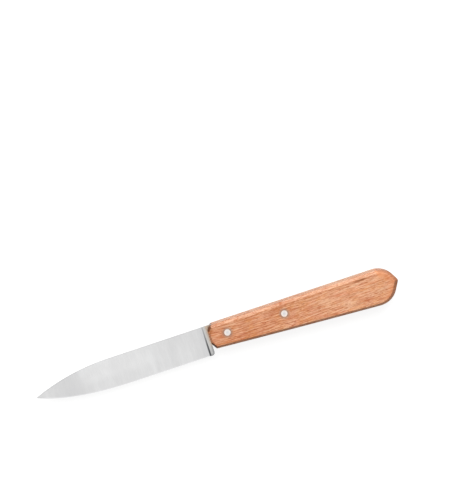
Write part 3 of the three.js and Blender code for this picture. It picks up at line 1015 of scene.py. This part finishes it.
def ricasso(tree, at, colour):
    """Mill finish of the sheet, with painted shade towards the heel and on its rolled edge, and a painted
    reflection of the wood next to the handle.
    """
    unground = remap(tree, at.x, -RICASSO_LENGTH - PLUNGE_LINE, -RICASSO_LENGTH + PLUNGE_LINE)
    colour = tint(tree, colour, unground, 0.85, (205, 204, 201))
    # Painted shade towards the heel.
    heel_shade = remap(tree, at.y, *HEEL_SHADE, 0.0, 0.4)
    colour = tint(tree, colour, unground, heel_shade, (172, 173, 175))

    # Painted shade on the heel's rolled edge.
    past_x = maths(tree, "ADD", at.x, HEEL_RADIUS)
    past_y = maths(tree, "SUBTRACT", HEEL_RADIUS - EDGE_DEPTH, at.y)
    rolled_edge_shade = remap(tree, inside_corner(tree, past_x, past_y, HEEL_RADIUS), *ROLLED_SHADE_DEPTH)
    rolled_edge_shade = times(tree, rolled_edge_shade, remap(tree, at.y, *ROLLED_SHADE_FALL, 0.0, 0.6))
    colour = tint(tree, colour, unground, rolled_edge_shade, (112, 113, 115))

    # Painted reflection of the wood next to the handle.
    wood_reflection = times(tree, remap(tree, at.y, *WOOD_REFLECTION_RISE), remap(tree, at.x, *WOOD_REFLECTION_REACH))
    flat_side = remap(tree, maths(tree, "ABSOLUTE", at.facing_z), 0.4, 0.8, 0.2, 1.0)
    return tint(tree, colour, times(tree, wood_reflection, flat_side), 0.9, (210, 186, 162))


def steel():
    material, tree, finish = new_material("blade_steel", metallic=1.0)
    at = surface(tree)
    across = joined(tree, at.y, at.x, at.z)
    grinding = strokes(tree, across, GRINDING)
    colour = ground_steel(tree, at, across, grinding)
    colour = ricasso(tree, at, colour)

    # The edges of the tang are sanded together with the wood, along the handle.
    tang = remap(tree, at.x, *TANG_STARTS)
    sanding = strokes(tree, at.place, TANG_SANDING)
    sanded = blend(tree, sanding, srgb(206, 204, 202), srgb(174, 173, 172))
    colour = blend(tree, times(tree, tang, 0.9), colour, sanded)

    # Soot from the wheel stays in the plunge hollow, with painted shade over it, most where the hollow is
    # deep.
    hollow = remap(tree, at.facing_x, -0.03, -0.22)
    colour = tint(tree, colour, hollow, remap(tree, at.y, *SOOT_AND_SHADE_FALL, 0.3, 0.86), (44, 47, 51))

    marks = between(tree, tang, grinding, sanding)
    rough = maths(tree, "MULTIPLY_ADD", marks, 0.1, 0.3)
    dress(tree, finish, colour, rough, relief(tree, marks, depth_mm=0.006, strength=0.35))
    return material


# Aluminium

RIVET_SANDING = Strokes(UNMOVED, 5.0, 0.09, 0.35, 0.65)
RIVET_MIDDLE = (1.3, 0.2)  # radii between which the greyer middle grows


def aluminium():
    material, tree, finish = new_material("rivet_aluminium", metallic=1.0)
    at = surface(tree)
    sanding = strokes(tree, at.place, RIVET_SANDING)
    middle = remap(tree, from_rivet(tree, at), *RIVET_MIDDLE)
    colour = blend(tree, middle, srgb(253, 240, 231), srgb(220, 220, 222))
    colour = tint(tree, colour, patches(tree, at.place, size=1.6), 0.4, (222, 220, 220))
    colour = tint(tree, colour, sanding, 0.2, (212, 212, 214))
    rough = maths(tree, "MULTIPLY_ADD", sanding, 0.12, 0.3)
    dress(tree, finish, colour, rough, relief(tree, sanding, depth_mm=0.01, strength=0.3))
    return material


# The knife

def assemble():
    rivet_metal = aluminium()
    pieces = [
        ("knife_blade", blade_mesh(), steel(), "blade", "blade_steel"),
        ("knife_handle", handle_mesh(), beech(), "handle", "handle_beech"),
    ]
    for node, x in RIVET_PLACES.items():
        pieces.append((f"knife_{node}", rivet_mesh(x), rivet_metal, node, "rivet_aluminium"))
    for name, bm, material, node, slot in pieces:
        piece = finished_piece(name, bm, material)
        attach(piece, "root")
        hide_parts(node)


# Studio, with lengths in metres

FILL = (0.12, 0.6)  # light from the side away from the softbox, and from its side
HORIZON_GLOSS = 0.6  # brightness of the surroundings low down, as metal shows them
GLOSS_RISE = (0.0, 0.8)  # heights of a ray's heading between which that grows to white
FLOOR_REACH = 4.0
FLOOR_GLOW = (0.86, 1.0)  # under the knife, and far away where the softbox no longer lights it
FLOOR_GLOW_FADE = (0.3, 1.0)  # distances between which the one turns into the other
FLOOR_ALBEDO = 0.28
SOFTBOX_POWER = 9.1
SOFTBOX_SIZE = 0.9
SOFTBOX_DISTANCE = 0.95
SOFTBOX_ELEVATION = 46.0


def seen_directly(tree):
    """1 for rays that show the floor as it looks: to the camera, in gloss and through glass."""
    rays = add(tree, "ShaderNodeLightPath").outputs
    seen = maths(tree, "MAXIMUM", rays["Is Camera Ray"], rays["Is Glossy Ray"])
    return maths(tree, "MAXIMUM", seen, rays["Is Transmission Ray"])


def white_surroundings(towards_light):
    world = bpy.data.worlds.new("white_studio")
    bpy.context.scene.world = world
    world.use_nodes = True
    tree = world.node_tree
    tree.nodes.clear()
    rays = add(tree, "ShaderNodeLightPath").outputs
    heading = add(tree, "ShaderNodeTexCoord").outputs["Generated"]
    level = Vector((towards_light.x, towards_light.y, 0)).normalized()
    fill = remap(tree, vectors(tree, "DOT_PRODUCT", heading, level), -1.0, 1.0, *FILL)
    upwards = add(tree, "ShaderNodeSeparateXYZ", {0: heading}).outputs["Z"]
    gloss = remap(tree, upwards, *GLOSS_RISE, HORIZON_GLOSS, 1.0)
    shiny = maths(tree, "MAXIMUM", rays["Is Glossy Ray"], rays["Is Transmission Ray"])
    strength = between(tree, shiny, fill, gloss)
    strength = between(tree, rays["Is Camera Ray"], strength, 1.0)
    sky = add(tree, "ShaderNodeBackground", {"Color": (1.0, 1.0, 1.0, 1.0), "Strength": strength})
    add(tree, "ShaderNodeOutputWorld", {"Surface": sky.outputs[0]})
    world.cycles.sampling_method = "NONE"


def white_floor():
    bm = bmesh.new()
    bmesh.ops.create_grid(bm, x_segments=1, y_segments=1, size=FLOOR_REACH)
    mesh = mesh_from("floor", bm)
    floor = placed("floor", mesh)
    floor.location.z = cad_low.z
    material = bpy.data.materials.new("floor_white")
    material.use_nodes = True
    tree = material.node_tree
    tree.nodes.clear()
    card = (FLOOR_ALBEDO, FLOOR_ALBEDO, FLOOR_ALBEDO, 1.0)
    matt = add(tree, "ShaderNodeBsdfDiffuse", {"Color": card}).outputs[0]
    place = add(tree, "ShaderNodeTexCoord").outputs["Object"]
    glow = remap(tree, vectors(tree, "LENGTH", place), *FLOOR_GLOW_FADE, *FLOOR_GLOW)
    glow = times(tree, seen_directly(tree), glow)
    lit = add(tree, "ShaderNodeEmission", {"Strength": glow}).outputs[0]
    both = add(tree, "ShaderNodeAddShader", {0: matt, 1: lit}).outputs[0]
    add(tree, "ShaderNodeOutputMaterial", {"Surface": both})
    mesh.materials.append(material)


def softbox(towards_light):
    lamp = bpy.data.lights.new("softbox", "AREA")
    lamp.shape = "SQUARE"
    lamp.size = SOFTBOX_SIZE
    lamp.energy = SOFTBOX_POWER
    holder = placed("softbox", lamp)
    holder.location = towards_light * SOFTBOX_DISTANCE
    holder.rotation_mode = "QUATERNION"
    holder.rotation_quaternion = towards_light.to_track_quat("Z", "Y")
    holder.visible_camera = False
    holder.visible_glossy = False


# Camera at the photograph's place

PHOTO_WIDTH, PHOTO_HEIGHT = 473, 500
TIP_IN_PHOTO = (36.14, 398.18)  # pixels from the upper left corner
PIXELS_PER_MM = 1.839
KNIFE_ROLL = 18.4  # degrees by which the knife rises to the right
CAMERA_TILT = 6.5  # degrees by which the camera leans over the spine
LENS, SENSOR = 135.0, 36.0
CLIP_START = 0.05


def photo_camera():
    """Sets up the camera, and returns the picture's upward direction."""
    roll, tilt = math.radians(KNIFE_ROLL), math.radians(CAMERA_TILT)
    towards = Vector((0, math.sin(tilt), math.cos(tilt)))
    along = Vector((1, 0, 0))
    across = towards.cross(along)
    right = along * math.cos(roll) - across * math.sin(roll)
    up = along * math.sin(roll) + across * math.cos(roll)
    pixel = MM / PIXELS_PER_MM
    tip = knife_axes @ Vector((-BLADE_LENGTH, 0, 0))
    from_centre = right * (PHOTO_WIDTH / 2 - TIP_IN_PHOTO[0]) + up * (TIP_IN_PHOTO[1] - PHOTO_HEIGHT / 2)
    camera = bpy.data.cameras.new("photo_camera")
    camera.lens = LENS
    camera.sensor_width = SENSOR
    camera.clip_start = CLIP_START
    holder = placed("photo_camera", camera)
    stand = tip + from_centre * pixel + towards * (LENS / SENSOR * PHOTO_HEIGHT * pixel)
    holder.matrix_world = Matrix.Translation(stand) @ Matrix((right, up, towards)).transposed().to_4x4()
    bpy.context.scene.camera = holder
    return up


def light_and_camera():
    image_up = photo_camera()
    level = Vector((image_up.x, image_up.y, 0)).normalized()
    rise = math.radians(SOFTBOX_ELEVATION)
    towards_light = level * math.cos(rise) + Vector((0, 0, math.sin(rise)))
    softbox(towards_light)
    white_surroundings(towards_light)
    white_floor()
    bpy.context.scene.view_settings.view_transform = "Standard"


assemble()
light_and_camera()
